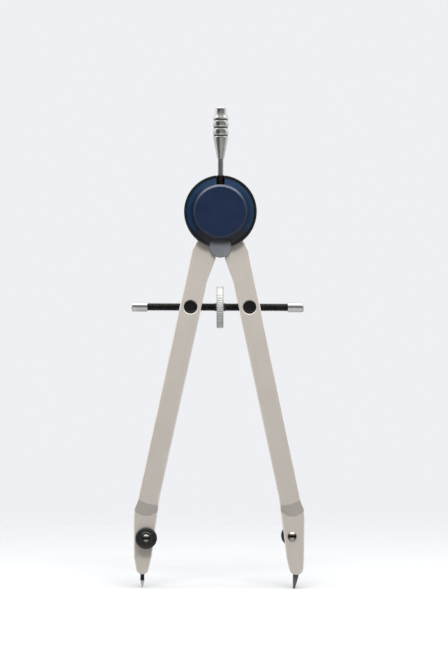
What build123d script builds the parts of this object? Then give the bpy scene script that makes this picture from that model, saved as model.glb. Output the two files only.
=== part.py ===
from build123d import *
import os
from math import acos, atan2, cos, hypot, pi, radians, sin, tan

# A bow compass with a centre wheel. Millimetres. +Z runs up the handle, the legs open in the XZ
# plane, the front faces -Y, and the origin is on the paper, midway between the legs.
# Both legs are drawn on the +X side, and the needle leg is then mirrored to -X.

# ---- driving dimensions -------------------------------------------------------------------------
HEAD_Z = 131.7            # centre of the round head
PIVOT_X = 4.2             # each leg's hinge pin, and the pitch radius of its gear
PIVOT_Z = 124.0
LEG_TILT = 12.0           # lean of each leg at rest, degrees
LEG_HALF = 2.5            # half thickness of a leg's upper part
TIP_HALF = 1.8            # half thickness of its lower part
EDGE = 0.3                # chamfer round a leg's faces
RUN = 0.05                # radial clearance of a running fit
EASE = 0.2                # chamfer on the edges of small turned parts

# head stack, as distances from the middle plane
CHEEK_IN = 2.7
CHEEK_OUT = 3.6
RIM_FACE = 4.45           # front edge of the black ring
BEVEL_OUT = 4.15          # cap's bevel ring, at its outer and inner edge
BEVEL_IN = 4.8
BOSS_EDGE = 5.15
BOSS_FACE = 5.9
RIM_R = 12.7
SEAT_R = 11.9             # the cap sits inside the ring
LEDGE_R = 11.2
BOSS_R = 9.45
FACE_R = 8.6
CHEEK_R = 9.2
POCKET_R = 8.3            # hollow behind each cap
POCKET_TOP = 4.75
TONGUE_R = 3.8            # round lower end of each cheek
TONGUE_Z = 119.6
LEG_WINDOW_Z = 126.6      # the ring is open between its faces below this
BLOCK_Z = 129.7           # underside of the block between the cheeks
NOTCH_GAP = 0.1

# pins, washers and screws of the head
PIN_R = 1.2
PIN_LUG_R = 2.4           # round lug of each cheek about the pin
WASHER_R = 3.5
WASHER_GAP = 0.02
CHEEK_SCREW_X = 5.4
CHEEK_SCREW_Z = 134.2
CHEEK_SCREW_R = 0.8
CHEEK_SCREW_HEAD_R = 1.6
CHEEK_SCREW_HEAD = 0.9
CHEEK_SCREW_SLOT = 0.4

# handle
SOCKET_R = 1.35
SOCKET_FOOT = 136.5
SOCKET_TOP = 144.6
STEM_R = 0.97
STEM_FOOT = 138.0
STEM_TOP = 155.0
GRIP_FOOT = 150.2
GRIP_FOOT_R = 1.25
CONE_TOP = 157.8
CONE_R = 2.68
GROOVE_R = 2.5
GROOVE_WIDTH = 0.3
LOWER_BEAD_FOOT = 158.5
UPPER_BEAD_FOOT = 161.35
BEAD_R = 2.78
FLARE_FOOT = 164.1        # the grip's cap, widest at its foot
FLARE_R = 2.8
FLARE_TOP_R = 2.0
GRIP_TOP = 168.2

# legs
KNUCKLE_R = 4.5
GEAR_TEETH = 12
PRESSURE_ANGLE = 25.0
ADDENDUM = 0.65
DEDENDUM = 0.8
BACKLASH = 0.12
SWING_IN = 10.5           # swing of each leg to fully closed and fully open, degrees
SWING_OUT = 19.0
THICK_END = (24.9, 30.9)  # a leg is thick above this point
STEP_TOP = (22.1, 40.0)   # centres and radii of the arcs that end the slope from thick to thin
STEP_TOP_R = 10.7
STEP_FOOT = (25.6, 30.35)
STEP_FOOT_R = 5.05
NEEDLE_FOOT = (26.8, 2.15)  # centre and radius of each leg's round foot
LEAD_FOOT = (27.0, 2.55)
NEEDLE_GEAR_START = 120.0 # angle of the first tooth, so that the two gears mesh
LEAD_GEAR_START = 135.0
TEETH_CUT = 4
SLIT_TOP = 23.5
SLIT_HALF = 0.25
MOUTH_Z = 4.9             # lowest point of each leg
BORE_TOP = 15.3
POINT_R = 1.0             # lead and needle holder, for 2 mm leads

# spindle and its nuts
NUT_X = 10.3
SPINDLE_Z = 98.4
NUT_R = 2.3
NUT_HALF = 2.42
SPINDLE_R = 1.4
SPINDLE_LEFT = -31.0
SPINDLE_RIGHT = 29.3
END_CAP_R = 1.72
END_CAP_LENGTH = 5.6
END_CAP_WALL = 1.4
WHEEL_R = 7.35
WHEEL_HALF = 1.2

# clamps at the foot of each leg
CLAMP_SCREW_R = 1.25
CLAMP_HEAD_R = 1.55
CLAMP_HEAD_TOP = 0.95
CLAMP_SLOT = 0.8
KNOB_R = 3.85
KNOB_HEIGHT = 2.5
KNOB_GAP = 0.05
POINT_X = 26.85           # the needle and the lead, each from the middle
NEEDLE_SCREW = (25.45, 17.7)
LEAD_SCREW = (25.5, 18.4)
POINT_TOP = 13.0          # upper end of the lead and of the needle holder
LEAD_BEVEL_TOP = 4.4
LEAD_EDGE = 0.35          # the lead's sharp edge, inwards from its axis
NEEDLE_R = 0.7
NEEDLE_HEAD_Z = 2.7
NEEDLE_SHANK_R = 0.4

BIG = 60.0


# ---- helpers ------------------------------------------------------------------------------------
def turned(*outline):
    """A solid of revolution about Z from (radius, height) points."""
    return revolve(Plane.XZ * make_face(Polyline(*outline, close=True)), Axis.Z)


def towards_front(x, z):
    """Places a part drawn along +Z so that it points out of the front face at (x, z)."""
    return Pos(x, 0, z) * Rot(90, 0, 0)


def towards_back(x, z):
    return Pos(x, 0, z) * Rot(-90, 0, 0)


def along_y(radius, half, x, z):
    return towards_front(x, z) * Cylinder(radius, 2 * half)


def slab(outline, half):
    """An outline in the XZ plane, as thick to the front as to the back."""
    return extrude(Plane.XZ * outline, amount=half, both=True)


def mirrored(shape):
    return mirror(shape, about=Plane.YZ)


def turn(point, angle):
    """A point in a plane, turned about the origin by an angle in degrees."""
    a = radians(angle)
    return (point[0] * cos(a) - point[1] * sin(a), point[0] * sin(a) + point[1] * cos(a))


def touch_point(point, centre, radius, side):
    """Where the line from a point touches a circle, on its left (side 1) or right (side -1)."""
    dx, dz = point[0] - centre[0], point[1] - centre[1]
    angle = atan2(dz, dx) + side * acos(radius / hypot(dx, dz))
    return (centre[0] + radius * cos(angle), centre[1] + radius * sin(angle))


# ---- head ---------------------------------------------------------------------------------------
def cheek_plate():
    """A round plate with a tongue that reaches down over the leg tops, drawn on the front."""
    outline = Pos(0, HEAD_Z) * Circle(CHEEK_R)
    outline += Pos(0, TONGUE_Z) * Circle(TONGUE_R)
    outline += Pos(0, (TONGUE_Z + HEAD_Z) / 2) * Rectangle(2 * TONGUE_R, HEAD_Z - TONGUE_Z)
    for side in (-1, 1):
        outline += Pos(side * PIVOT_X, PIVOT_Z) * Circle(PIN_LUG_R)
    plate = extrude(Plane.XZ * outline, amount=CHEEK_OUT)
    plate -= Pos(0, 0, HEAD_Z) * Box(BIG, 2 * CHEEK_IN, BIG)
    front_rim = plate.faces().sort_by(Axis.Y)[0].edges()
    plate = chamfer(front_rim, 0.15)
    for side in (-1, 1):
        plate -= along_y(PIN_R, BIG, side * PIVOT_X, PIVOT_Z)
        plate -= along_y(CHEEK_SCREW_R, BIG, side * CHEEK_SCREW_X, CHEEK_SCREW_Z)
    return plate


def cap():
    """A hollow cap: a flat boss with a chamfer, inside a bevelled ring, drawn along +Z.

    It is notched below for the cheek's tongue.
    """
    shell = turned(
        (0, POCKET_TOP),
        (POCKET_R, POCKET_TOP),
        (POCKET_R, CHEEK_OUT),
        (SEAT_R - RUN, CHEEK_OUT),
        (SEAT_R - RUN, BEVEL_OUT),
        (BOSS_R, BEVEL_IN),
        (BOSS_R, BOSS_EDGE),
        (FACE_R, BOSS_FACE),
        (0, BOSS_FACE),
    )
    return shell - Pos(0, -BOSS_R - BIG / 2, 0) * Box(2 * (TONGUE_R + NOTCH_GAP), BIG, BIG)


def front_cap():
    """The front cap is notched above too, so that the handle's socket shows."""
    notch = Pos(0, BOSS_R + BIG / 2, 0) * Box(2 * (SOCKET_R + NOTCH_GAP), BIG, BIG)
    return towards_front(0, HEAD_Z) * (cap() - notch)


def back_cap():
    return mirror(towards_front(0, HEAD_Z) * cap(), about=Plane.XZ)


def head_ring():
    """The drum between the caps, with a window below for the legs and a notch above."""
    half = turned(
        (LEDGE_R, 0),
        (RIM_R, 0),
        (RIM_R, RIM_FACE - EASE),
        (RIM_R - EASE, RIM_FACE),
        (SEAT_R, RIM_FACE),
        (SEAT_R, CHEEK_OUT),
        (LEDGE_R, CHEEK_OUT),
    )
    ring = towards_front(0, HEAD_Z) * half + towards_back(0, HEAD_Z) * half
    ring -= Pos(0, 0, LEG_WINDOW_Z - BIG / 2) * Box(BIG, 2 * (CHEEK_IN + NOTCH_GAP), BIG)
    ring -= Pos(0, 0, HEAD_Z - BIG / 2) * Box(2 * (TONGUE_R + NOTCH_GAP), BIG, BIG)
    ring -= Pos(0, -BIG / 2, HEAD_Z + BIG / 2) * Box(2 * (SOCKET_R + NOTCH_GAP), BIG, BIG)
    return ring - Pos(0, 0, HEAD_Z + BIG / 2) * Cylinder(SOCKET_R + NOTCH_GAP, BIG)


def head_block():
    """The solid block between the cheeks, which holds the socket of the handle."""
    outline = Pos(0, HEAD_Z) * Circle(CHEEK_R)
    outline -= Pos(0, BLOCK_Z - BIG / 2) * Rectangle(BIG, BIG)
    block = slab(outline, CHEEK_IN)
    block -= Pos(0, 0, SOCKET_FOOT + BIG / 2) * Cylinder(SOCKET_R, BIG)
    for side in (-1, 1):
        block -= along_y(CHEEK_SCREW_R, BIG, side * CHEEK_SCREW_X, CHEEK_SCREW_Z)
    return block


def pivot_pin(x):
    """A riveted hinge pin through both cheeks and one leg."""
    pin = Cylinder(PIN_R, 2 * CHEEK_OUT)
    pin = chamfer(pin.edges().filter_by(GeomType.CIRCLE), 0.15)
    return towards_front(x, PIVOT_Z) * pin


def friction_washers():
    """Four thin washers, one on each side of each leg."""
    washers = []
    thickness = CHEEK_IN - LEG_HALF - WASHER_GAP
    for side in (-1, 1):
        for face in (-1, 1):
            middle = face * (CHEEK_IN - thickness / 2)
            washer = Cylinder(WASHER_R, thickness) - Cylinder(PIN_R, BIG)
            washers.append(Pos(side * PIVOT_X, middle, PIVOT_Z) * Rot(90, 0, 0) * washer)
    return washers


def cheek_screws():
    """Four short slotted screws that hold the cheeks to the block."""
    foot, top = 0.4, CHEEK_OUT + CHEEK_SCREW_HEAD
    profile = turned(
        (0, foot),
        (CHEEK_SCREW_R, foot),
        (CHEEK_SCREW_R, CHEEK_OUT),
        (CHEEK_SCREW_HEAD_R, CHEEK_OUT),
        (CHEEK_SCREW_HEAD_R, top - EASE),
        (CHEEK_SCREW_HEAD_R - EASE, top),
        (0, top),
    )
    slot = Box(BIG, CHEEK_SCREW_SLOT, 2 * CHEEK_SCREW_SLOT)
    screw = profile - Pos(0, 0, top) * slot
    places = [place(x, CHEEK_SCREW_Z)
              for place in (towards_front, towards_back)
              for x in (-CHEEK_SCREW_X, CHEEK_SCREW_X)]
    return [place * screw for place in places]


# ---- handle -------------------------------------------------------------------------------------
def stem_socket():
    tube = turned(
        (0, SOCKET_FOOT),
        (SOCKET_R, SOCKET_FOOT),
        (SOCKET_R, SOCKET_TOP - EASE),
        (SOCKET_R - EASE, SOCKET_TOP),
        (STEM_R, SOCKET_TOP),
        (STEM_R, STEM_FOOT),
        (0, STEM_FOOT),
    )
    return tube


def handle_stem():
    return Pos(0, 0, (STEM_FOOT + STEM_TOP) / 2) * Cylinder(STEM_R, STEM_TOP - STEM_FOOT)


def handle_grip():
    """Turned grip: a cone, two round beads between grooves, and a flared cap."""
    outline = Polyline((STEM_R, GRIP_FOOT), (GRIP_FOOT_R, GRIP_FOOT), (CONE_R - 0.03, CONE_TOP - 0.3))
    outline += ThreePointArc((CONE_R - 0.03, CONE_TOP - 0.3), (CONE_R, CONE_TOP),
                             (GROOVE_R, LOWER_BEAD_FOOT - GROOVE_WIDTH))
    outline += Line((GROOVE_R, LOWER_BEAD_FOOT - GROOVE_WIDTH), (GROOVE_R, LOWER_BEAD_FOOT))
    for foot, next_foot in ((LOWER_BEAD_FOOT, UPPER_BEAD_FOOT), (UPPER_BEAD_FOOT, FLARE_FOOT)):
        top = next_foot - GROOVE_WIDTH
        outline += ThreePointArc((GROOVE_R, foot), (BEAD_R, (foot + top) / 2), (GROOVE_R, top))
        outline += Line((GROOVE_R, top), (GROOVE_R, next_foot))
    outline += Polyline((GROOVE_R, FLARE_FOOT), (FLARE_R - 0.05, FLARE_FOOT), (FLARE_R, FLARE_FOOT + 0.35))
    outline += ThreePointArc((FLARE_R, FLARE_FOOT + 0.35), (FLARE_TOP_R + 0.22, GRIP_TOP - 2.0),
                             (FLARE_TOP_R, GRIP_TOP - EASE))
    outline += Polyline((FLARE_TOP_R, GRIP_TOP - EASE), (FLARE_TOP_R - EASE, GRIP_TOP), (0, GRIP_TOP),
                        (0, STEM_TOP), (STEM_R, STEM_TOP), (STEM_R, GRIP_FOOT))
    return revolve(Plane.XZ * make_face(outline), Axis.Z)


# ---- legs ---------------------------------------------------------------------------------------
def involute(angle):
    return tan(angle) - angle


def gear_tooth():
    """One involute tooth, pointing along +X from the gear's centre."""
    pitch_r = PIVOT_X
    pressure = radians(PRESSURE_ANGLE)
    base_r = pitch_r * cos(pressure)
    tip_r = pitch_r + ADDENDUM
    root_r = pitch_r - DEDENDUM
    half_pitch = pi / (2 * GEAR_TEETH) - BACKLASH / (2 * pitch_r)
    flank = []
    steps = 6
    for i in range(steps + 1):
        radius = base_r + (tip_r - base_r) * i / steps
        half = half_pitch + involute(pressure) - involute(acos(base_r / radius))
        flank.append((radius * cos(half), radius * sin(half)))
    half = half_pitch + involute(pressure)
    foot_r = root_r - 0.5
    flank.insert(0, (foot_r * cos(half), foot_r * sin(half)))
    other_flank = [(x, -y) for x, y in reversed(flank)]
    return make_face(Polyline(*flank, *other_flank, close=True))


def knuckle(first_tooth):
    """The round top of a leg: a gear sector on its inner side and a plain knuckle on its outer side."""
    low, middle, high = (turn((KNUCKLE_R, 0), angle) for angle in (-60, 10, 80))
    outline = Circle(PIVOT_X - DEDENDUM)
    outline += make_face(Line((0, 0), low) + ThreePointArc(low, middle, high) + Line(high, (0, 0)))
    for i in range(TEETH_CUT):
        outline += Rot(0, 0, first_tooth + i * 360 / GEAR_TEETH) * gear_tooth()
    return slab(Pos(PIVOT_X, PIVOT_Z) * outline, LEG_HALF)


def blade_outline(foot):
    """The leg below its knuckle, with a round foot given by its centre's x and its radius."""
    end_x, end_r = foot
    inner_foot, outer_foot, bulge = (23.7, 10.6), (29.75, 11.0), (29.9, 25.0)
    end = (end_x, MOUTH_Z + end_r)
    inner_touch = touch_point(inner_foot, end, end_r, 1)
    outer_touch = touch_point(outer_foot, end, end_r, -1)
    edge = Polyline((PIVOT_X, PIVOT_Z), (1.5, 120.6), (1.63, 115.4), (4.65, 107.3),
                    (21.0, 31.3), inner_foot, inner_touch)
    edge += ThreePointArc(inner_touch, (end_x, MOUTH_Z), outer_touch)
    edge += Polyline(outer_touch, outer_foot, bulge)
    edge += ThreePointArc(bulge, (29.6, 27.4), (28.85, 29.4))
    edge += Line((28.85, 29.4), (10.0, 117.5))
    edge += ThreePointArc((10.0, 117.5), (9.75, 118.65), (9.25, 119.55))
    edge += Polyline((9.25, 119.55), (7.5, 122.2), (PIVOT_X, PIVOT_Z))
    return make_face(edge)


def chamfered_slab(outline, half):
    body = slab(outline, half)
    faces = body.faces().sort_by(Axis.Y)
    return chamfer(faces[0].edges() + faces[-1].edges(), EDGE)


def thick_zone():
    """What is thick in a leg: all above the step, and a slope whose edges are arcs."""
    circles = [Pos(STEP_FOOT[0], -TIP_HALF, STEP_FOOT[1]) * Rot(90, 0, 0) * Circle(STEP_FOOT_R),
               Pos(STEP_TOP[0], -LEG_HALF, STEP_TOP[1]) * Rot(90, 0, 0) * Circle(STEP_TOP_R)]
    slope = loft(circles, ruled=True)
    back_slope = mirror(slope, about=Plane.XZ)
    above = Pos(THICK_END[0], 0, THICK_END[1]) * Rot(0, -LEG_TILT, 0) * Pos(0, 0, BIG) \
        * Box(2 * BIG, 2 * LEG_HALF, 2 * BIG)
    return above + slope + back_slope


def spindle_passage():
    """The fan-shaped hole from side to side that lets the spindle swing about the nut."""
    half = SPINDLE_R + 0.15
    low, high = -SWING_OUT - 0.6, SWING_IN + 0.6
    reach = 9.0
    fan = [turn((0, -half), low), turn((reach, -half), low),
           turn((reach, half), high), turn((0, half), high)]
    right = make_face(Polyline(*fan, close=True))
    left = Rot(0, 0, 180) * right
    return slab(Pos(NUT_X, SPINDLE_Z) * (right + left), half)


def leg(foot, first_tooth, screw):
    blade = chamfered_slab(blade_outline(foot), LEG_HALF) & thick_zone()
    blade += chamfered_slab(blade_outline(foot), TIP_HALF)
    body = blade + knuckle(first_tooth)
    body -= along_y(PIN_R + RUN, BIG, PIVOT_X, PIVOT_Z)
    body -= along_y(NUT_R + RUN, BIG, NUT_X, SPINDLE_Z)
    for place in (towards_front, towards_back):
        rim = Pos(0, 0, LEG_HALF) * Cone(NUT_R - 0.2, NUT_R + 0.8, 1.0)
        body -= place(NUT_X, SPINDLE_Z) * rim
    body -= spindle_passage()
    body -= Pos(POINT_X, 0, BORE_TOP - BIG / 2) * Cylinder(POINT_R + RUN, BIG)
    body -= Pos(screw[0], 0, SLIT_TOP - BIG / 2) * Box(BIG, 2 * SLIT_HALF, BIG)
    body -= along_y(CLAMP_SCREW_R + RUN, BIG, *screw)
    return body


def needle_leg():
    return mirrored(leg(NEEDLE_FOOT, NEEDLE_GEAR_START, NEEDLE_SCREW))


def lead_leg():
    return leg(LEAD_FOOT, LEAD_GEAR_START, LEAD_SCREW)


# ---- clamps at the feet -------------------------------------------------------------------------
def clamp_screw():
    """A slotted screw, head at the bottom, drawn along +Z with its head under z = -TIP_HALF."""
    end = TIP_HALF + KNOB_GAP + KNOB_HEIGHT + 0.15
    head_top = -TIP_HALF - CLAMP_HEAD_TOP
    profile = Polyline((CLAMP_HEAD_R, -TIP_HALF), (CLAMP_SCREW_R, -TIP_HALF),
                       (CLAMP_SCREW_R, end - 0.15), (CLAMP_SCREW_R - 0.15, end),
                       (0, end), (0, head_top))
    profile += ThreePointArc((0, head_top), (1.05, head_top + 0.3), (CLAMP_HEAD_R, head_top + 0.75))
    profile += Line((CLAMP_HEAD_R, head_top + 0.75), (CLAMP_HEAD_R, -TIP_HALF))
    screw = revolve(Plane.XZ * make_face(profile), Axis.Z)
    screw -= Pos(0, 0, end) * Box(BIG, CLAMP_SLOT, 1.0)
    return screw - Pos(0, 0, head_top) * Box(BIG, CLAMP_SLOT, 1.1)


def clamp_knob():
    """A round nut with a dished face and a raised boss round its hole, drawn along +Z."""
    foot = TIP_HALF + KNOB_GAP
    top = foot + KNOB_HEIGHT
    shoulder = foot + 0.35
    bore = CLAMP_SCREW_R + RUN
    dish = top - 0.25
    rim = KNOB_R - 0.35
    return turned(
        (bore, foot),
        (2.6, foot),
        (2.9, shoulder),
        (KNOB_R - EASE, shoulder),
        (KNOB_R, shoulder + EASE),
        (KNOB_R, top - 0.35),
        (rim, top),
        (rim - 0.6, top),
        (rim - 0.75, dish),
        (2.05, dish),
        (1.9, top),
        (bore, top),
    )


def needle_holder():
    """A black sleeve for the needle: full size in the leg, slimmer below it."""
    return Pos(-POINT_X, 0, 0) * turned(
        (NEEDLE_SHANK_R, NEEDLE_HEAD_Z),
        (NEEDLE_R, NEEDLE_HEAD_Z),
        (NEEDLE_R, MOUTH_Z + 0.2),
        (POINT_R, MOUTH_Z + 0.5),
        (POINT_R, POINT_TOP),
        (NEEDLE_SHANK_R, POINT_TOP),
    )


def needle():
    return Pos(-POINT_X, 0, 0) * turned(
        (0, 0),
        (0.04, 0),
        (NEEDLE_R, NEEDLE_HEAD_Z - 0.15),
        (NEEDLE_R, NEEDLE_HEAD_Z),
        (NEEDLE_SHANK_R, NEEDLE_HEAD_Z),
        (NEEDLE_SHANK_R, POINT_TOP),
        (0, POINT_TOP),
    )


def lead():
    """A graphite lead, ground to a bevel on its outer side."""
    body = Pos(0, 0, POINT_TOP / 2) * Cylinder(POINT_R, POINT_TOP)
    ground = make_face(Polyline((-LEAD_EDGE, -1), (-LEAD_EDGE, 0), (POINT_R, LEAD_BEVEL_TOP),
                                (BIG, LEAD_BEVEL_TOP), (BIG, -1), close=True))
    return Pos(POINT_X, 0, 0) * (body - slab(ground, BIG))


# ---- spindle ------------------------------------------------------------------------------------
def pivot_nut(x):
    """A round nut that swivels in a leg, with the spindle through its middle."""
    nut = Cylinder(NUT_R, 2 * NUT_HALF)
    nut = chamfer(nut.edges().filter_by(GeomType.CIRCLE), 0.12)
    nut = towards_front(x, SPINDLE_Z) * nut
    return nut - Pos(x, 0, SPINDLE_Z) * Rot(0, 90, 0) * Cylinder(SPINDLE_R + RUN, BIG)


def spindle():
    left = SPINDLE_LEFT + END_CAP_WALL
    right = SPINDLE_RIGHT - END_CAP_WALL
    return Pos((left + right) / 2, 0, SPINDLE_Z) * Rot(0, 90, 0) * Cylinder(SPINDLE_R, right - left)


def spindle_cap(end, side):
    """A plated cap over one end of the spindle; side is -1 on the left and 1 on the right."""
    cup = turned(
        (0, 0),
        (END_CAP_R - 0.45, 0),
        (END_CAP_R, 0.45),
        (END_CAP_R, END_CAP_LENGTH),
        (SPINDLE_R, END_CAP_LENGTH),
        (SPINDLE_R, END_CAP_WALL),
        (0, END_CAP_WALL),
    )
    return Pos(end, 0, SPINDLE_Z) * Rot(0, -90 * side, 0) * cup


def adjusting_wheel():
    """A wheel with a hub and a rim that stand a little proud of its web."""
    bore = SPINDLE_R + RUN
    web = WHEEL_HALF - 0.25
    hub, rim = 2.6, WHEEL_R - 1.0
    side = [
        (bore, WHEEL_HALF),
        (hub, WHEEL_HALF),
        (hub + 0.3, web),
        (rim - 0.3, web),
        (rim, WHEEL_HALF),
        (WHEEL_R - 0.3, WHEEL_HALF),
        (WHEEL_R, WHEEL_HALF - 0.3),
    ]
    other_side = [(radius, -height) for radius, height in reversed(side)]
    return Pos(0, 0, SPINDLE_Z) * Rot(0, 90, 0) * turned(*side, *other_side)


# ---- the whole compass --------------------------------------------------------------------------
def nodes():
    front_cheek = cheek_plate()
    return {
        "front_cap": front_cap(),
        "back_cap": back_cap(),
        "head_ring": head_ring(),
        "front_cheek": front_cheek,
        "back_cheek": mirror(front_cheek, about=Plane.XZ),
        "head_block": head_block(),
        "needle_pivot_pin": pivot_pin(-PIVOT_X),
        "lead_pivot_pin": pivot_pin(PIVOT_X),
        "friction_washers": friction_washers(),
        "cheek_screws": cheek_screws(),
        "stem_socket": stem_socket(),
        "handle_stem": handle_stem(),
        "handle_grip": handle_grip(),
        "needle_leg": needle_leg(),
        "lead_leg": lead_leg(),
        "needle_clamp_screw": towards_front(-NEEDLE_SCREW[0], NEEDLE_SCREW[1]) * clamp_screw(),
        "needle_clamp_knob": towards_front(-NEEDLE_SCREW[0], NEEDLE_SCREW[1]) * clamp_knob(),
        "needle_holder": needle_holder(),
        "needle": needle(),
        "lead_clamp_screw": towards_back(*LEAD_SCREW) * clamp_screw(),
        "lead_clamp_knob": towards_back(*LEAD_SCREW) * clamp_knob(),
        "lead": lead(),
        "needle_pivot_nut": pivot_nut(-NUT_X),
        "lead_pivot_nut": pivot_nut(NUT_X),
        "spindle": spindle(),
        "spindle_cap_left": spindle_cap(SPINDLE_LEFT, -1),
        "spindle_cap_right": spindle_cap(SPINDLE_RIGHT, 1),
        "adjusting_wheel": adjusting_wheel(),
    }


os.makedirs("parts", exist_ok=True)
for name, shape in nodes().items():
    solids = shape if isinstance(shape, list) else shape.solids()
    export_step(Compound(children=list(solids)), f"parts/{name}.step")
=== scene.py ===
import bmesh
import bpy
from math import cos, pi, radians, sin, tau
from mathutils import Matrix, Vector

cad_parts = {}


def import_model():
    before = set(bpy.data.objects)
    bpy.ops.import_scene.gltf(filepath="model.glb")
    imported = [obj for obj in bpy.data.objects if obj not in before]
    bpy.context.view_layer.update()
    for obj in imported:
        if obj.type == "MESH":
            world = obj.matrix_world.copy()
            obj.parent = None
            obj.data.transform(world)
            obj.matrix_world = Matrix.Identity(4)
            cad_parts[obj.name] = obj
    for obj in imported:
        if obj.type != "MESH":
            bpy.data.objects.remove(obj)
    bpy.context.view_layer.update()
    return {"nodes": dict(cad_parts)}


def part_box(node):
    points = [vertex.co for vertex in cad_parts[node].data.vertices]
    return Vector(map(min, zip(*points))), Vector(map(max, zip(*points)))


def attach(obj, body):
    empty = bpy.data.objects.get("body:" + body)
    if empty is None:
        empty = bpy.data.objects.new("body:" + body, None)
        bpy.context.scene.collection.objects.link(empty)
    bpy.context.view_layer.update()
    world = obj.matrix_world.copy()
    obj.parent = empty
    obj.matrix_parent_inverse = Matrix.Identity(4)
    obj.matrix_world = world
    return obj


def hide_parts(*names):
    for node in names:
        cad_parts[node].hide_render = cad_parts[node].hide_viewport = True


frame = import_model()

# Everything is in the CAD frame: the front faces -Y, the handle points up +Z, and the floor is at
# z = 0. Profiles are (radius, height) pairs in millimetres, and places are in metres.
MM = 0.001
GAP = 0.1         # clearance of the head's notches
FAR = 30          # reach of a cutting block
X, Y, Z = 0, 1, 2
scene = bpy.context.scene
nodes = frame["nodes"]


def mm(*lengths):
    """Lengths in millimetres, given in metres."""
    return [length * MM for length in lengths]


# ---- places, read from the frame ----------------------------------------------------------------
def middle(node):
    low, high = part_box(node)
    return (low + high) / 2


def top_corner(node):
    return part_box(node)[1]


HEAD_R = top_corner("head_ring").x
HEAD = Vector((0, 0, top_corner("head_ring").z - HEAD_R))
ORIGIN = Vector((0, 0, 0))
SPINDLE = middle("spindle")
AXIS_Z = SPINDLE.z
WHEEL = middle("adjusting_wheel")
LEG_TILT = radians(12)      # lean of a leg at rest

# Radii that both a shape and its material need, in millimetres
BOSS_R, FACE_R = 9.45, 8.6          # the boss of a cap, at its foot and at its face
WHEEL_R, KNURL_DEPTH = 7.35, 0.11
ROD_R = 1.4


# ---- materials ----------------------------------------------------------------------------------
class Nodes:
    """Makes shader nodes in a tree and links them."""

    def __init__(self, tree):
        self.tree = tree

    def feed(self, socket, value):
        if isinstance(value, bpy.types.NodeSocket):
            self.tree.links.new(value, socket)
        else:
            socket.default_value = value

    def node(self, kind, inputs=None, **settings):
        made = self.tree.nodes.new(kind)
        for key, value in settings.items():
            setattr(made, key, value)
        for key, value in (inputs or {}).items():
            self.feed(made.inputs[key], value)
        return made

    def math(self, operation, a, b=0.0):
        return self.node("ShaderNodeMath", {0: a, 1: b}, operation=operation).outputs[0]

    def plus(self, a, b):
        return self.math("ADD", a, b)

    def times(self, first, *others):
        """The product of masks and numbers."""
        for other in others:
            first = self.math("MULTIPLY", first, other)
        return first

    def weigh(self, a, share, b):
        """share of a and the rest of b."""
        return self.plus(self.times(a, share), self.times(b, 1 - share))

    def distance(self, value, centre):
        """How far value is from centre, either way."""
        return self.math("ABSOLUTE", self.math("SUBTRACT", value, centre))

    def span(self, value, low, high, to_low=0.0, to_high=1.0, curve="LINEAR"):
        """value from low..high, clamped, to to_low..to_high."""
        return self.node("ShaderNodeMapRange", {"Value": value, "From Min": low, "From Max": high,
                                                "To Min": to_low, "To Max": to_high},
                         interpolation_type=curve).outputs[0]

    def between(self, value, inside, outside):
        """A mask over a band of value: its two ends each fade from 0 to 1, as (0 at, 1 at)."""
        return self.times(self.span(value, *inside), self.span(value, *outside))


class Finish(Nodes):
    """A procedural material on object coordinates, which are the part's own frame in metres."""

    def __init__(self, name, metallic=0.0, ior=1.5, coat=0.0, coat_roughness=0.08):
        self.material = bpy.data.materials.new(name)
        self.material.use_nodes = True
        super().__init__(self.material.node_tree)
        self.shader = self.tree.nodes["Principled BSDF"]
        self.shader.inputs["Metallic"].default_value = metallic
        self.shader.inputs["IOR"].default_value = ior
        self.shader.inputs["Coat Weight"].default_value = coat
        self.shader.inputs["Coat Roughness"].default_value = coat_roughness
        self.coords = self.node("ShaderNodeTexCoord")
        self.place = self.coords.outputs["Object"]
        self.reliefs = []

    def mix(self, amount, a, b):
        colours = [c if isinstance(c, bpy.types.NodeSocket) else (*c, 1.0) for c in (a, b)]
        return self.node("ShaderNodeMix", {0: amount, 6: colours[0], 7: colours[1]},
                         data_type="RGBA").outputs[2]

    def noise(self, scale, stretch=(1, 1, 1), place=None, detail=3.0, roughness=0.5):
        """Noise with features of about 1/scale metres, drawn out along an axis of small stretch."""
        vector = self.node("ShaderNodeMapping", {"Vector": place or self.place,
                                                 "Scale": stretch}).outputs[0]
        return self.node("ShaderNodeTexNoise", {"Vector": vector, "Scale": scale, "Detail": detail,
                                                "Roughness": roughness}).outputs[0]

    def noise_over(self, value, scale, detail=2.0):
        """Noise that only value changes: over a distance from an axis it makes turned rings."""
        vector = self.node("ShaderNodeCombineXYZ", {0: value}).outputs[0]
        return self.node("ShaderNodeTexNoise", {"Vector": vector, "Scale": scale,
                                                "Detail": detail}).outputs[0]

    def axis(self, index):
        return self.node("ShaderNodeSeparateXYZ", {0: self.place}).outputs[index]

    def from_axis(self, centre, along):
        """Distance from an axis through centre, along X, Y or Z."""
        keep = [0.0 if i == along else 1.0 for i in range(3)]
        offset = self.node("ShaderNodeVectorMath", {0: self.place, 1: tuple(centre)},
                           operation="SUBTRACT").outputs[0]
        flat = self.node("ShaderNodeVectorMath", {0: offset, 1: keep}, operation="MULTIPLY").outputs[0]
        return self.node("ShaderNodeVectorMath", {0: flat}, operation="LENGTH").outputs["Value"]

    def bump(self, height, strength, depth):
        """Adds a relief of about depth millimetres."""
        self.reliefs.append((height, strength, depth * MM))

    def done(self, colour, roughness):
        self.feed(self.shader.inputs["Base Color"], colour)
        self.feed(self.shader.inputs["Roughness"], roughness)
        normal = None
        for height, strength, depth in self.reliefs:
            inputs = {"Height": height, "Strength": strength, "Distance": depth}
            if normal is not None:
                inputs["Normal"] = normal
            normal = self.node("ShaderNodeBump", inputs).outputs[0]
        if normal is not None:
            self.feed(self.shader.inputs["Normal"], normal)
        return self.material


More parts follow.
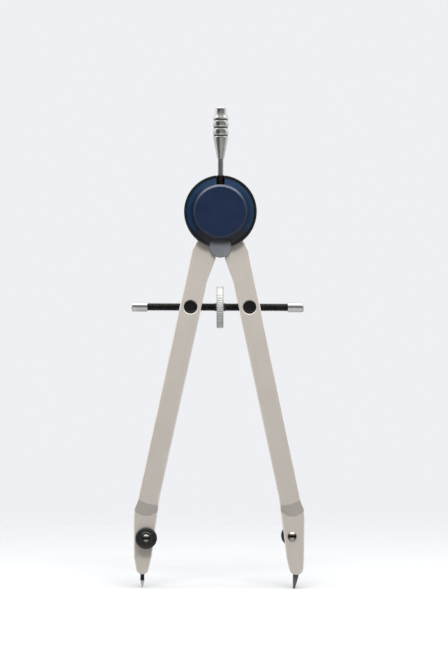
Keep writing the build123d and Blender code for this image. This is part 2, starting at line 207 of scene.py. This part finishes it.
def stretched(along, across):
    """The stretch of a noise that changes fast along one axis and by across along the others."""
    stretch = [across] * 3
    stretch[along] = 1.0
    return stretch


def satin_nickel():
    """Plated legs: finely grained lengthways, polished chamfers, faint handling marks; painted shade on
    the slope and towards the feet.
    """
    f = Finish("satin_nickel", metallic=0.35)
    dull, clean, foot = (0.66, 0.603, 0.543), (0.72, 0.663, 0.598), (0.42, 0.38, 0.34)
    polished, sheared, sloped = (0.86, 0.83, 0.78), (0.40, 0.375, 0.345), (0.44, 0.405, 0.37)

    # Both legs lean alike, so the grain is laid on x without its sign and then turned to the leg
    x, y, z = f.node("ShaderNodeSeparateXYZ", {0: f.place}).outputs
    folded = f.node("ShaderNodeCombineXYZ", {0: f.math("ABSOLUTE", x), 1: y, 2: z}).outputs[0]
    along = f.node("ShaderNodeMapping", {"Vector": folded, "Rotation": (0, LEG_TILT, 0)}).outputs[0]
    streaks = f.noise(4200, (1, 1, 0.03), along, detail=4.0, roughness=0.6)
    hairlines = f.noise(9000, (1, 1, 0.012), along, detail=2.0)
    blotches = f.noise(110, detail=4.0, roughness=0.6)
    grain = f.noise(3600, detail=3.0, roughness=0.6)
    smudges = f.span(f.noise(160, detail=2.0), 0.55, 0.75)

    # facing is 1 on the flat faces, 0.99 on the ramp, about 0.7 on the chamfers and 0 on the sides
    facing = f.math("ABSOLUTE", f.node("ShaderNodeSeparateXYZ",
                                       {0: f.coords.outputs["Normal"]}).outputs[Y])
    slope_shade = f.between(facing, (0.9975, 0.9955), (0.93, 0.95))
    chamfer = f.between(facing, (0.93, 0.8), (0.45, 0.6))
    side = f.span(facing, 0.4, 0.2)

    tone = f.plus(f.times(streaks, 0.4), f.plus(f.times(blotches, 0.4), f.times(grain, 0.2)))
    plate = f.mix(f.span(tone, 0.38, 0.62), dull, clean)
    # Painted shade: the plate darkens towards the feet, to the foot colour
    plate = f.mix(f.span(z, *mm(110, 30), 0.0, 0.32), plate, foot)
    rubbed = f.times(chamfer, f.span(blotches, 0.35, 0.55, 0.7, 1.0))
    colour = f.mix(rubbed, plate, polished)
    colour = f.mix(f.times(side, 0.35), colour, sheared)
    # Painted shade: the slope between the thick and the thin part of a leg is painted darker
    colour = f.mix(f.times(slope_shade, 0.8), colour, sloped)
    gloss = f.span(f.plus(streaks, f.times(hairlines, 0.5)), 0.5, 1.0, 0.38, 0.50)
    gloss = f.plus(gloss, f.times(smudges, 0.05))
    f.bump(hairlines, 0.2, 0.012)
    f.bump(grain, 0.25, 0.02)
    return f.done(colour, f.math("SUBTRACT", gloss, f.times(rubbed, 0.14)))


def turned_metal(name, light, dark, rough, centre=ORIGIN, along=Z, groove_shade=None):
    """Plated or bare metal with the fine rings of turning, and smudges between them.

    rough is the least and the greatest roughness. The last argument gives the radius below which
    the grooves are painted dark as shade, and the two heights between which they are.
    """
    f = Finish(name, metallic=1.0)
    lines, dirt = 9000.0, (0.055, 0.053, 0.055)
    rings = f.noise(lines, stretched(along, 0.02))
    smudges = f.noise(450)
    colour = f.mix(f.span(smudges, 0.4, 0.7), light, dark)
    radius = f.from_axis(centre, along)
    # Painted shade: below the given radius the grooves are darkened almost to black, in the dirt colour
    if groove_shade:
        reach, low, high = groove_shade
        height = f.axis(along)
        grime = f.times(f.span(radius, *mm(reach, reach - 0.08)),
                        f.between(height, mm(low - 0.1, low), mm(high + 0.1, high)))
        colour = f.mix(f.times(grime, 0.9), colour, dirt)
    f.bump(rings, 0.12, 0.01)
    f.bump(f.noise_over(radius, lines), 0.12, 0.01)
    return f.done(colour, f.span(f.weigh(rings, 0.5, smudges), 0.3, 0.7, *rough))


def screw_nickel(name, node):
    """Dull plate on a turned screw, with painted shade at both sides, and dirt and painted shade in its
    slot.
    """
    f = Finish(name, metallic=0.9)
    at = middle(node)
    bright, dull, dirt = (0.58, 0.545, 0.50), (0.40, 0.37, 0.335), (0.030, 0.024, 0.019)
    rings = f.noise(6000, stretched(Y, 0.05))
    grime = f.noise(1400)
    turning = f.noise_over(f.from_axis(at, Y), 7000.0)
    from_slot, from_middle = f.distance(f.axis(Z), at.z), f.distance(f.axis(X), at.x)
    # The slot is painted dark in the dirt colour, for dirt and for painted shade inside it
    slot = f.times(f.span(from_slot, *mm(0.52, 0.42)), f.span(grime, 0.2, 0.5, 0.8, 1.0))
    # Painted shade: the screw's end is painted darker towards both sides
    tarnish = f.span(from_middle, *mm(0.5, 0.95), 0.0, 0.85)
    plate = f.mix(f.span(grime, 0.35, 0.65), bright, dull)
    colour = f.mix(f.math("MAXIMUM", slot, tarnish), plate, dirt)
    f.bump(turning, 0.15, 0.01)
    f.bump(grime, 0.12, 0.01)
    return f.done(colour, f.plus(f.span(rings, 0.3, 0.7, 0.14, 0.24), f.times(slot, 0.5)))


def wheel_nickel():
    """The wheel: nickel with turned faces, and dirt in the valleys of its knurl."""
    f = Finish("wheel_nickel", metallic=0.55)
    valley_r = WHEEL_R - KNURL_DEPTH
    grey, white, dirt = (0.80, 0.81, 0.78), (0.88, 0.89, 0.865), (0.15, 0.155, 0.14)
    radius = f.from_axis(WHEEL, X)
    rings = f.noise_over(radius, 6500.0, detail=3.0)
    specks = f.noise(1200)
    valley = f.between(radius, mm(valley_r + 0.08, valley_r - 0.01),
                       mm(valley_r - 0.16, valley_r - 0.10))
    grimy = f.times(valley, f.span(specks, 0.25, 0.6, 0.6, 1.0))
    metal = f.mix(f.span(f.noise(260), 0.35, 0.65), grey, white)
    f.bump(rings, 0.2, 0.01)
    f.bump(specks, 0.1, 0.01)
    return f.done(f.mix(grimy, metal, dirt),
                  f.plus(f.span(rings, 0.3, 0.7, 0.26, 0.40), f.times(grimy, 0.3)))


def stamped_steel(name, dark, light, rough):
    """Rolled plate of the fork: a faint grain lengthways, light handling marks, a painted shadow under
    the caps.
    """
    f = Finish(name, metallic=0.5)
    grime = (0.035, 0.040, 0.048)
    grain = f.noise(5200, (1, 1, 0.05))
    spots = f.noise(700, detail=4.0, roughness=0.65)
    patches = f.noise(220)
    tone = f.weigh(grain, 0.4, patches)
    colour = f.mix(f.span(spots, 0.62, 0.75), f.mix(f.span(tone, 0.35, 0.65), dark, light), light)
    above_head = f.math("SUBTRACT", f.axis(Z), HEAD.z)
    # Painted shadow: the tongue's top, under the caps, is painted dark in the grime colour
    cap_shadow = f.times(f.span(above_head, *mm(-12.4, -10.2)), f.span(patches, 0.3, 0.6, 0.7, 0.9))
    f.bump(grain, 0.2, 0.012)
    f.bump(spots, 0.25, 0.02)
    return f.done(f.mix(cap_shadow, colour, grime), f.span(tone, 0.35, 0.65, *rough))


def black_steel(name, centre, along, crest=None):
    """Blackened steel, oiled; crest is the radius in millimetres where it is rubbed to bare metal."""
    f = Finish(name, ior=1.45)
    black, brown, bare = (0.0035, 0.0032, 0.0030), (0.0095, 0.0086, 0.0078), (0.060, 0.056, 0.050)
    rings = f.noise(5000, stretched(along, 0.05))
    patches = f.noise(500, detail=4.0, roughness=0.6)
    colour = f.mix(f.span(patches, 0.35, 0.7), black, brown)
    if crest:
        rubbed = f.times(f.span(f.from_axis(centre, along), *mm(crest - 0.06, crest)),
                         f.span(patches, 0.42, 0.62, 0.1, 0.6))
        colour = f.mix(rubbed, colour, bare)
    f.bump(rings, 0.2, 0.012)
    f.bump(patches, 0.3, 0.04)
    return f.done(colour, f.span(f.plus(rings, patches), 0.75, 1.3, 0.24, 0.40))


def navy_plastic():
    """The caps: glossy moulded plastic, hazed, lightly scratched; painted highlight at the top, painted
    shade beside the boss and below.
    """
    f = Finish("navy_plastic", ior=1.5, coat=0.15, coat_roughness=0.12)
    deep, hazed, blue = (0.0055, 0.0155, 0.047), (0.0075, 0.0195, 0.057), (0.0085, 0.030, 0.072)
    shaded, shade_below_colour, rubbed = (0.0030, 0.0095, 0.026), (0.003, 0.0035, 0.0045), (0.20, 0.205, 0.21)
    haze = f.noise(170)
    grain = f.noise(5200, detail=2.0)
    slanted = f.node("ShaderNodeMapping", {"Vector": f.place, "Rotation": (0, 0.7, 0)}).outputs[0]
    scratches = f.span(f.noise(2600, (1, 1, 0.02), slanted, detail=2.0), 0.70, 0.74)
    radius = f.from_axis(HEAD, Y)
    above_head = f.math("SUBTRACT", f.axis(Z), HEAD.z)
    bevel = f.between(radius, mm(FACE_R - 0.05, FACE_R + 0.08), mm(BOSS_R - 0.05, BOSS_R - 0.25))
    ring = f.span(radius, *mm(BOSS_R - 0.10, BOSS_R + 0.05))

    colour = f.mix(f.span(haze, 0.35, 0.65), deep, hazed)
    colour = f.mix(ring, colour, blue)
    beside_boss = f.times(f.span(radius, *mm(11.2, 9.7)), f.span(above_head, *mm(8.5, 5.5)))
    colour = f.mix(f.times(ring, beside_boss, 0.8), colour, shaded)
    # Painted shade: the ring is painted darker towards its bottom
    shade_below = f.times(ring, f.span(above_head, *mm(-5.0, -8.5)),
                     f.span(f.noise(900), 0.3, 0.5, 0.8, 0.97))
    colour = f.mix(shade_below, colour, shade_below_colour)
    # Painted highlight: the boss's bevel is painted lighter over its top, in the rubbed colour
    top_highlight = f.times(bevel, f.span(haze, 0.35, 0.6, 0.1, 0.4), f.span(above_head, *mm(6.2, 8.0)))
    colour = f.mix(top_highlight, colour, rubbed)
    f.bump(grain, 0.12, 0.01)
    f.bump(scratches, 0.05, 0.01)
    return f.done(colour, f.plus(f.span(haze, 0.3, 0.7, 0.24, 0.36), f.times(scratches, 0.15)))


def black_plastic(name, centre, rings=3500.0):
    """Moulded black plastic: faint rings from the mould, and dust in its texture."""
    f = Finish(name, ior=1.5, coat=0.4, coat_roughness=0.1)
    turned = f.noise_over(f.from_axis(centre, Y), rings)
    dust = f.noise(1500, detail=4.0, roughness=0.65)
    colour = f.mix(f.span(dust, 0.45, 0.75), (0.0050, 0.0052, 0.0060), (0.0135, 0.0135, 0.0140))
    f.bump(turned, 0.35, 0.02)
    f.bump(f.noise(6500, detail=2.0), 0.12, 0.01)
    return f.done(colour, f.span(f.plus(dust, turned), 0.7, 1.3, 0.2, 0.4))


def graphite():
    """Sharpened lead: grey streaks down its length, shinier where they are light."""
    f = Finish("graphite", metallic=0.35)
    streaks = f.noise(5000, (1, 1, 0.06), detail=4.0, roughness=0.65)
    grains = f.noise(9000, detail=2.0)
    colour = f.mix(f.span(streaks, 0.35, 0.7), (0.062, 0.058, 0.060), (0.19, 0.182, 0.186))
    f.bump(streaks, 0.3, 0.02)
    f.bump(grains, 0.2, 0.01)
    return f.done(colour, f.span(streaks, 0.3, 0.7, 0.55, 0.35))


SATIN = satin_nickel()
CHROME = turned_metal("bright_chrome", (0.80, 0.80, 0.80), (0.66, 0.66, 0.655), (0.14, 0.24),
                      groove_shade=(2.62, 158.0, 164.2))
CHROME_X = turned_metal("bright_chrome_x", (0.80, 0.80, 0.79), (0.66, 0.66, 0.64), (0.12, 0.22),
                        SPINDLE, X)
WHEEL_NICKEL = wheel_nickel()
GREY = stamped_steel("grey_steel", (0.25, 0.268, 0.297), (0.32, 0.342, 0.375), (0.42, 0.55))
BARE = turned_metal("bare_steel", (0.52, 0.54, 0.54), (0.40, 0.41, 0.41), (0.22, 0.36))
POINT = turned_metal("needle_steel", (0.74, 0.725, 0.71), (0.60, 0.59, 0.58), (0.22, 0.36))
STEM = turned_metal("stem_steel", (0.44, 0.46, 0.46), (0.34, 0.36, 0.36), (0.34, 0.46))
ROD = black_steel("black_rod", SPINDLE, X, ROD_R)
TUBE = black_steel("black_tube", ORIGIN, Z)
NAVY = navy_plastic()
RING_BLACK = black_plastic("ring_black", HEAD)


# ---- mesh helpers -------------------------------------------------------------------------------
def rounded(outline, radius, steps=3):
    """An outline with its corners rounded, each to steps + 1 points, except where it meets the axis."""
    slight = radians(8)
    most = 0.4      # share of a side that one corner may take
    made = []
    for i, corner in enumerate(outline):
        before, after = outline[i - 1], outline[(i + 1) % len(outline)]
        if corner[0] == 0:
            made.append(corner)
            continue
        p = Vector(corner)
        to_before, to_after = Vector(before) - p, Vector(after) - p
        bend = to_before.angle(-to_after) if to_before.length and to_after.length else 0
        if bend < slight:
            made.append(corner)
            continue
        cut = min(radius, most * to_before.length, most * to_after.length)
        start, end = p + to_before.normalized() * cut, p + to_after.normalized() * cut
        for k in range(steps + 1):
            t = k / steps
            on_curve = start * (1 - t) ** 2 + p * 2 * t * (1 - t) + end * t * t
            made.append(tuple(on_curve))
    return made


def lathe(outline, segments, shape=None):
    """Points and faces of a solid of revolution about +Z; shape may change a point's radius."""
    points, rings, faces = [], [], []
    for radius, height in outline:
        if radius == 0:
            rings.append([len(points)] * segments)
            points.append((0, 0, height))
            continue
        rings.append(list(range(len(points), len(points) + segments)))
        for i in range(segments):
            angle = tau * i / segments
            r = shape(radius, angle) if shape else radius
            points.append((r * cos(angle), r * sin(angle), height))
    for a, b in zip(rings, rings[1:] + rings[:1]):
        for i in range(segments):
            j = (i + 1) % segments
            face = list(dict.fromkeys((a[i], a[j], b[j], b[i])))
            if len(face) > 2:
                faces.append(face)
    return points, faces


def block(low, high):
    """A box as points and faces, for cutting."""
    xs, ys, zs = zip(low, high)
    points = [(x, y, z) for x in xs for y in ys for z in zs]
    faces = [(0, 1, 3, 2), (4, 6, 7, 5), (0, 4, 5, 1), (2, 3, 7, 6), (0, 2, 6, 4), (1, 5, 7, 3)]
    return points, faces


def solid(name, shape, place):
    """An object from points in millimetres and faces, with its normals facing out."""
    points, faces = shape
    mesh = bpy.data.meshes.new(name)
    mesh.from_pydata([place @ (Vector(p) * MM) for p in points], [], faces)
    work = bmesh.new()
    work.from_mesh(mesh)
    bmesh.ops.recalc_face_normals(work, faces=work.faces)
    work.to_mesh(mesh)
    work.free()
    made = bpy.data.objects.new(name, mesh)
    scene.collection.objects.link(made)
    return made


def cut_away(made, cuts):
    """Takes (shape, place) pairs away from an object's mesh."""
    tools = [solid("cutter", *cut) for cut in cuts]
    for tool in tools:
        cut = made.modifiers.new("cut", "BOOLEAN")
        cut.operation, cut.solver, cut.object = "DIFFERENCE", "EXACT", tool
    bpy.context.view_layer.update()
    graph = bpy.context.evaluated_depsgraph_get()
    mesh = bpy.data.meshes.new_from_object(made.evaluated_get(graph))
    made.modifiers.clear()
    made.data = mesh
    for tool in tools:
        bpy.data.objects.remove(tool)


def piece(name, shape, place, material, body, slot, *replaced, cuts=(), sharp=32):
    """A finished piece that rides on its body; edges of more than sharp degrees stay sharp."""
    made = solid(name, shape, place)
    if cuts:
        cut_away(made, cuts)
    made.data.materials.clear()
    made.data.materials.append(material)
    made.data.shade_smooth()
    made.data.set_sharp_from_angle(angle=radians(sharp))
    weighted = made.modifiers.new("weighted_normals", "WEIGHTED_NORMAL")
    weighted.keep_sharp = True
    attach(made, body)
    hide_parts(*replaced)


def towards_front(x, z):
    """Turns +Z to -Y, at a place in metres."""
    return Matrix.Translation((x, 0, z)) @ Matrix.Rotation(pi / 2, 4, "X")


def towards_back(x, z):
    """Turns +Z to +Y, at a place in metres."""
    return Matrix.Translation((x, 0, z)) @ Matrix.Rotation(-pi / 2, 4, "X")


def along_x(x, z, side=1):
    """Turns +Z to +X, or to -X with a side of -1, at a place in metres."""
    return Matrix.Translation((x, 0, z)) @ Matrix.Rotation(side * pi / 2, 4, "Y")


# ---- head ---------------------------------------------------------------------------------------
def cap_outline():
    """Half a section of a cap: the pocket behind, the rim, the sloped ring and the bevelled boss."""
    pocket_r, pocket_top = 8.3, 4.75
    rim_r, seat, rim_top = 11.85, 3.6, 4.15
    ring_top, boss_side, face, face_edge_r = 4.8, 5.15, 5.9, 8.0
    steps = 4
    front = rounded([(pocket_r, seat), (rim_r, seat), (rim_r, rim_top), (BOSS_R, ring_top),
                     (BOSS_R, boss_side), (FACE_R, face), (face_edge_r, face)], 0.14, steps)
    return ([(0, pocket_top), (pocket_r, pocket_top), (pocket_r, seat)] + front[steps:-steps]
            + [(face_edge_r, face), (0, face)])


def head_pieces():
    """Both caps and the black drum between them, notched for the tongue, the socket and the legs."""
    front, back = towards_front(HEAD.x, HEAD.z), towards_back(HEAD.x, HEAD.z)
    upright = Matrix.Translation(HEAD)
    tongue, socket = 3.8 + GAP, 1.35 + GAP      # half widths of their notches
    cap = lathe(cap_outline(), 160)
    piece("head_cap_front", cap, front, NAVY, "head", "navy_plastic", "front_cap",
          cuts=[(block((-tongue, -FAR, -FAR), (tongue, -BOSS_R, FAR)), front),
                (block((-socket, BOSS_R, -FAR), (socket, FAR, FAR)), front)])
    piece("head_cap_back", cap, back, NAVY, "head", "navy_plastic", "back_cap",
          cuts=[(block((-tongue, BOSS_R, -FAR), (tongue, FAR, FAR)), back)])

    inner_r, seat_r, outer_r = 11.2, 11.9, 12.7
    seat, half = 3.6, 4.45                      # half widths at the caps' seats and over all
    legs, legs_top = 2.8, -5.1                  # half width and top of the legs' window
    outline = rounded([(inner_r, -seat), (seat_r, -seat), (seat_r, -half), (outer_r, -half),
                       (outer_r, half), (seat_r, half), (seat_r, seat), (inner_r, seat)], 0.22, 4)
    cuts = [block((-FAR, -legs, -FAR), (FAR, legs, legs_top)),
            block((-tongue, -FAR, -FAR), (tongue, FAR, 0)),
            block((-socket, -FAR, 0), (socket, 0, FAR)),
            lathe([(0, 0), (socket, 0), (socket, FAR), (0, FAR)], 48)]
    piece("head_drum", lathe(outline, 180), front, RING_BLACK, "head", "black_plastic", "head_ring",
          cuts=[(cut, upright) for cut in cuts])


# ---- handle -------------------------------------------------------------------------------------
GROOVE_R, BEAD_R, FLARE_R = 2.5, 2.78, 2.8


def bead(foot, top, steps=12):
    """A round bead of the grip, from groove to groove."""
    fullness = 0.8      # under 1 makes the bead fuller than a sine
    return [(GROOVE_R + (BEAD_R - GROOVE_R) * sin(pi * k / steps) ** fullness,
             foot + (top - foot) * k / steps) for k in range(steps + 1)]


def flare(foot, steps=14):
    """The hollow flare above the beads, narrower at its top."""
    height, waist, hollow = 3.4, 0.75, 1.8
    return [(FLARE_R - waist * (1 - (1 - k / steps) ** hollow), foot + height * k / steps)
            for k in range(steps + 1)]


def grip_piece():
    """The turned grip from the foot of its cone to its top, with the stem's bore below."""
    bore_r, bore_top = 0.97, 155.0
    cone_foot, cone_top, flare_foot, top = 150.2, 157.5, 164.45, 168.2
    lower_bead, upper_bead = (158.5, 161.05), (161.35, 163.8)
    cone = rounded([(bore_r, cone_foot), (1.25, cone_foot), (2.65, cone_top), (2.68, 157.8),
                    (GROOVE_R, 158.25), (GROOVE_R, lower_bead[0])], 0.12, 3)
    steps = 2
    collar = rounded([(GROOVE_R, upper_bead[1]), (GROOVE_R, 164.1), (2.75, 164.1),
                      (FLARE_R, flare_foot)], 0.05, steps)[steps + 1:-steps - 1]
    rim = [(2.04, top - 0.25), (1.97, top - 0.12), (1.88, top - 0.04), (1.75, top), (0, top)]
    outline = (cone + bead(*lower_bead) + bead(*upper_bead) + collar
               + flare(flare_foot) + rim + [(0, bore_top), (bore_r, bore_top)])
    piece("handle_turned_grip", lathe(outline, 96), Matrix.Identity(4), CHROME, "head",
          "bright_chrome", "handle_grip")


# ---- spindle and wheel --------------------------------------------------------------------------
def clamped(share):
    return min(1.0, max(0.0, share))


def thread(turns):
    """Depth of the thread, 0 on the crest and 1 in the root, at a number of turns along it."""
    steepness, crest = 2.6, 0.2
    return clamped((0.5 - abs(turns % 1.0 - 0.5)) * steepness - crest)


def spindle_piece():
    """A rod with a right-hand thread on one side of the wheel and a left-hand one on the other."""
    low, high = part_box("spindle")
    left, right = (low.x - SPINDLE.x) / MM, (high.x - SPINDLE.x) / MM
    wheel = (WHEEL.x - SPINDLE.x) / MM
    depth, pitch, segments, step = 0.26, 0.5, 24, 0.0625
    plain, run_out, lead_in = 1.7, 0.4, 0.5     # beside the wheel, and at both ends of each thread
    count = round((right - left) / step)
    points, faces = [(0, 0, left)], []
    for i in range(count + 1):
        h = left + (right - left) * i / count
        from_wheel = h - wheel
        cut = depth * (clamped((abs(from_wheel) - plain) / run_out)
                       * clamped((h - left) / lead_in) * clamped((right - h) / lead_in))
        for k in range(segments):
            turn = k / segments
            hand = turn if from_wheel > 0 else -turn
            r = ROD_R - cut * thread(abs(from_wheel) / pitch + hand)
            points.append((r * cos(tau * turn), r * sin(tau * turn), h))
    points.append((0, 0, right))
    last, base = len(points) - 1, 1 + count * segments
    for k in range(segments):
        n = (k + 1) % segments
        faces.append((0, 1 + n, 1 + k))
        faces.append((last, base + k, base + n))
        for i in range(count):
            a, b = 1 + i * segments, 1 + (i + 1) * segments
            faces.append((a + k, a + n, b + n, b + k))
    piece("threaded_spindle", (points, faces), along_x(SPINDLE.x, AXIS_Z), ROD, "spindle",
          "black_steel", "spindle", sharp=75)


def end_cap_pieces():
    """Turned cups over both ends of the spindle, built from their closed ends."""
    outer_r, length, chamfer, floor_top = 1.72, 5.6, 0.45, 1.4
    outline = rounded([(0, 0), (outer_r - chamfer, 0), (outer_r, chamfer), (outer_r, length),
                       (ROD_R, length), (ROD_R, floor_top), (0, floor_top)], 0.16, 4)
    for name, side in (("left", -1), ("right", 1)):
        node = f"spindle_cap_{name}"
        low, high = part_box(node)
        end = low.x if side < 0 else high.x
        piece(f"end_cap_{name}", lathe(outline, 64), along_x(end, AXIS_Z, -side), CHROME_X,
              "spindle", "bright_chrome", node)


def knurl(teeth, outer, depth):
    """Straight teeth round the rim of a lathed piece, fading out below the rim."""
    fade = 0.12

    def shape(radius, angle):
        share = max(0.0, 1 - (outer - radius) / fade)
        return radius - depth * share * (0.5 - 0.5 * cos(teeth * angle))
    return shape


def wheel_piece():
    """The adjusting wheel: a hub and a rim with a shallow web between them."""
    half, bore, teeth, steps_per_tooth = 1.2, 1.45, 72, 6
    hub_r, web_r, recess, chamfer = 2.6, 2.9, 0.25, 0.3
    rim_foot, rim_top = WHEEL_R - 1.3, WHEEL_R - 1.0
    side = [(bore, half), (hub_r, half), (web_r, half - recess), (rim_foot, half - recess),
            (rim_top, half), (WHEEL_R - chamfer, half), (WHEEL_R, half - chamfer)]
    outline = rounded([(r, -h) for r, h in side] + side[::-1], 0.07, 3)
    wheel = lathe(outline, teeth * steps_per_tooth, knurl(teeth, WHEEL_R, KNURL_DEPTH))
    piece("knurled_wheel", wheel, along_x(WHEEL.x, AXIS_Z), WHEEL_NICKEL, "adjusting_wheel",
          "wheel_nickel", "adjusting_wheel", sharp=50)


def nut_pieces():
    """Round nuts that swivel in the legs: a dished face inside a narrow rim, bored for the spindle."""
    outer_r, rim_r, dish_r, chamfer, bore_r = 2.3, 1.8, 1.55, 0.12, 1.45
    bore = lathe([(0, -FAR), (bore_r, -FAR), (bore_r, FAR), (0, FAR)], 48)
    for side in ("needle", "lead"):
        node = f"{side}_pivot_nut"
        half, x = top_corner(node).y / MM, middle(node).x
        face = [(0, half - 0.3), (dish_r, half - 0.4), (rim_r, half), (outer_r - chamfer, half),
                (outer_r, half - chamfer)]
        outline = rounded([(r, -h) for r, h in face] + face[::-1], 0.06, 3)
        material = black_steel(f"black_{side}_nut", (x, 0, AXIS_Z), Y)
        piece(f"{side}_swivel_nut", lathe(outline, 64), towards_front(x, AXIS_Z), material, node,
              "black_steel", node, cuts=[(bore, along_x(x, AXIS_Z))])


# ---- clamps -------------------------------------------------------------------------------------
def knob_pieces():
    """Knurled knobs, one in front and one behind: a raised land and a sunk middle, both ridged."""
    r, bore, foot, neck, top = 3.85, 1.3, 1.85, 2.2, 4.35
    teeth, steps_per_tooth, tooth_depth = 48, 6, 0.16
    land = [(r - 0.35, top), (3.38, 4.26), (3.26, top), (3.14, 4.26), (3.02, top), (2.90, 4.33)]
    sunk = [(2.75, 4.05), (2.62, 4.13), (2.49, 4.05), (2.36, 4.14), (2.23, 4.06), (2.10, 4.18)]
    outline = rounded([(bore, foot), (2.6, foot), (2.9, neck), (r - 0.2, neck), (r, neck + 0.2),
                       (r, top - 0.35)] + land + sunk + [(1.9, top), (bore, top)], 0.1, 3)
    knob = lathe(outline, teeth * steps_per_tooth, knurl(teeth, r, tooth_depth))
    for side, turned in (("needle", towards_front), ("lead", towards_back)):
        node = f"{side}_clamp_knob"
        at = middle(node)
        material = black_plastic(f"black_{side}_knob", (at.x, 0, at.z), 2600.0)
        piece(f"{side}_knurled_knob", knob, turned(at.x, at.z), material, node, "black_plastic",
              node, sharp=45)


head_pieces()
grip_piece()
spindle_piece()
end_cap_pieces()
wheel_piece()
nut_pieces()
knob_pieces()

LOOKS = {
    SATIN: ("needle_leg", "lead_leg"),
    GREY: ("front_cheek", "back_cheek"),
    BARE: ("head_block", "needle_pivot_pin", "lead_pivot_pin", "friction_washers", "cheek_screws"),
    POINT: ("needle",),
    STEM: ("handle_stem",),
    screw_nickel("needle_screw_nickel", "needle_clamp_screw"): ("needle_clamp_screw",),
    screw_nickel("lead_screw_nickel", "lead_clamp_screw"): ("lead_clamp_screw",),
    TUBE: ("stem_socket", "needle_holder"),
    graphite(): ("lead",),
}
for material, names in LOOKS.items():
    for name in names:
        nodes[name].data.materials.clear()
        nodes[name].data.materials.append(material)


# ---- floor, light and camera --------------------------------------------------------------------
PALE = (0.855, 0.868, 0.895)


def floor():
    """A pale floor that fades into the background before its edge, and is dimmer in reflections."""
    radius, segments = 0.5, 96
    fade_start, fade_end = 0.10, 0.45
    paper, paper_light, reflected = (0.52, 0.528, 0.545), (0.535, 0.543, 0.558), (0.30, 0.305, 0.315)
    points = [(0, 0, 0)] + [(radius * cos(tau * i / segments), radius * sin(tau * i / segments), 0)
                            for i in range(segments)]
    faces = [(0, i + 1, (i + 1) % segments + 1) for i in range(segments)]
    mesh = bpy.data.meshes.new("floor")
    mesh.from_pydata(points, [], faces)
    made = bpy.data.objects.new("floor", mesh)
    scene.collection.objects.link(made)
    f = Finish("floor")
    f.shader.inputs["Specular IOR Level"].default_value = 0.2
    f.bump(f.noise(1500, detail=2.0), 0.05, 0.02)
    f.done(f.mix(f.span(f.noise(40), 0.3, 0.7), paper, paper_light), 0.75)
    dim = f.node("ShaderNodeBsdfDiffuse", {"Color": (*reflected, 1.0)})
    seen = f.node("ShaderNodeMixShader", {0: f.node("ShaderNodeLightPath").outputs["Is Camera Ray"],
                                          1: dim.outputs[0], 2: f.shader.outputs[0]})
    clear = f.node("ShaderNodeBsdfTransparent")
    fade = f.node("ShaderNodeMixShader", {0: f.span(f.from_axis(ORIGIN, Z), fade_start, fade_end),
                                          1: seen.outputs[0], 2: clear.outputs[0]})
    output = next(n for n in f.tree.nodes if n.type == "OUTPUT_MATERIAL")
    f.feed(output.inputs["Surface"], fade.outputs[0])
    mesh.materials.append(f.material)


def world():
    """Pale behind the object, and a plain studio round it: bright above, with a dimmer front."""
    made = bpy.data.worlds.new("studio")
    scene.world = made
    made.use_nodes = True
    w = Nodes(made.node_tree)
    w.tree.nodes.clear()
    front_least, arch_glow, side_shade = 0.22, 3.2, 0.75

    def soft(value, low, high, to_low=0.0, to_high=1.0):
        return w.span(value, low, high, to_low, to_high, curve="SMOOTHSTEP")

    # The parts of a direction: to the right, away from the front, and up
    direction = w.node("ShaderNodeTexCoord").outputs["Generated"]
    right, away, up = w.node("ShaderNodeSeparateXYZ", {0: direction}).outputs
    front = soft(away, 0.05, -0.35)
    all_round = soft(up, -0.3, 0.3, 0.6, 0.95)
    low_glow, high_glow = soft(up, -0.22, -0.42, 0.0, 0.34), soft(up, 0.48, 0.75, 0.0, 0.55)
    in_front = w.plus(w.plus(low_glow, high_glow), front_least)
    ambient = w.plus(w.times(all_round, w.math("SUBTRACT", 1.0, front)), w.times(in_front, front))

    arch = w.times(soft(w.distance(away, -0.2), 0.34, 0.10), soft(up, 0.4, 0.85))
    ambient = w.plus(ambient, w.times(arch, arch_glow))
    dark_side = w.times(soft(right, -0.22, -0.34), soft(right, -0.92, -0.80), front,
                        soft(up, 0.5, 0.3))
    ambient = w.times(ambient, w.math("SUBTRACT", 1.0, w.times(dark_side, side_shade)))

    seen = w.node("ShaderNodeBackground", {"Color": (*PALE, 1.0), "Strength": 1.0})
    light = w.node("ShaderNodeBackground", {"Color": (1.0, 0.995, 0.985, 1.0), "Strength": ambient})
    is_camera = w.node("ShaderNodeLightPath").outputs["Is Camera Ray"]
    both = w.node("ShaderNodeMixShader", {0: is_camera, 1: light.outputs[0], 2: seen.outputs[0]})
    w.feed(w.node("ShaderNodeOutputWorld").inputs["Surface"], both.outputs[0])


def softbox(name, at, target, width, height, watts):
    """A soft rectangular lamp that lights the object but isn't mirrored in it."""
    lamp = bpy.data.lights.new(name, "AREA")
    lamp.shape, lamp.size, lamp.size_y, lamp.energy = "RECTANGLE", width, height, watts
    made = bpy.data.objects.new(name, lamp)
    made.location = at
    made.rotation_euler = (Vector(target) - Vector(at)).to_track_quat("-Z", "Y").to_euler()
    made.visible_camera = made.visible_glossy = False
    scene.collection.objects.link(made)


def camera():
    """Level, 1 m in front of the handle's axis and leaning a little to one side."""
    lens = bpy.data.cameras.new("camera")
    lens.sensor_width, lens.lens = 36.0, 158.7
    lens.clip_start, lens.clip_end = 0.01, 10.0
    made = bpy.data.objects.new("camera", lens)
    made.location = (0.0014, -1.0, 0.0925)
    made.rotation_euler = (pi / 2, radians(-0.22), 0)
    scene.collection.objects.link(made)
    scene.camera = made


floor()
world()
softbox("key", at=(0.03, -0.47, 0.68), target=(0, 0, 0.09), width=0.48, height=0.15, watts=5.2)
camera()
scene.view_settings.view_transform = "Standard"
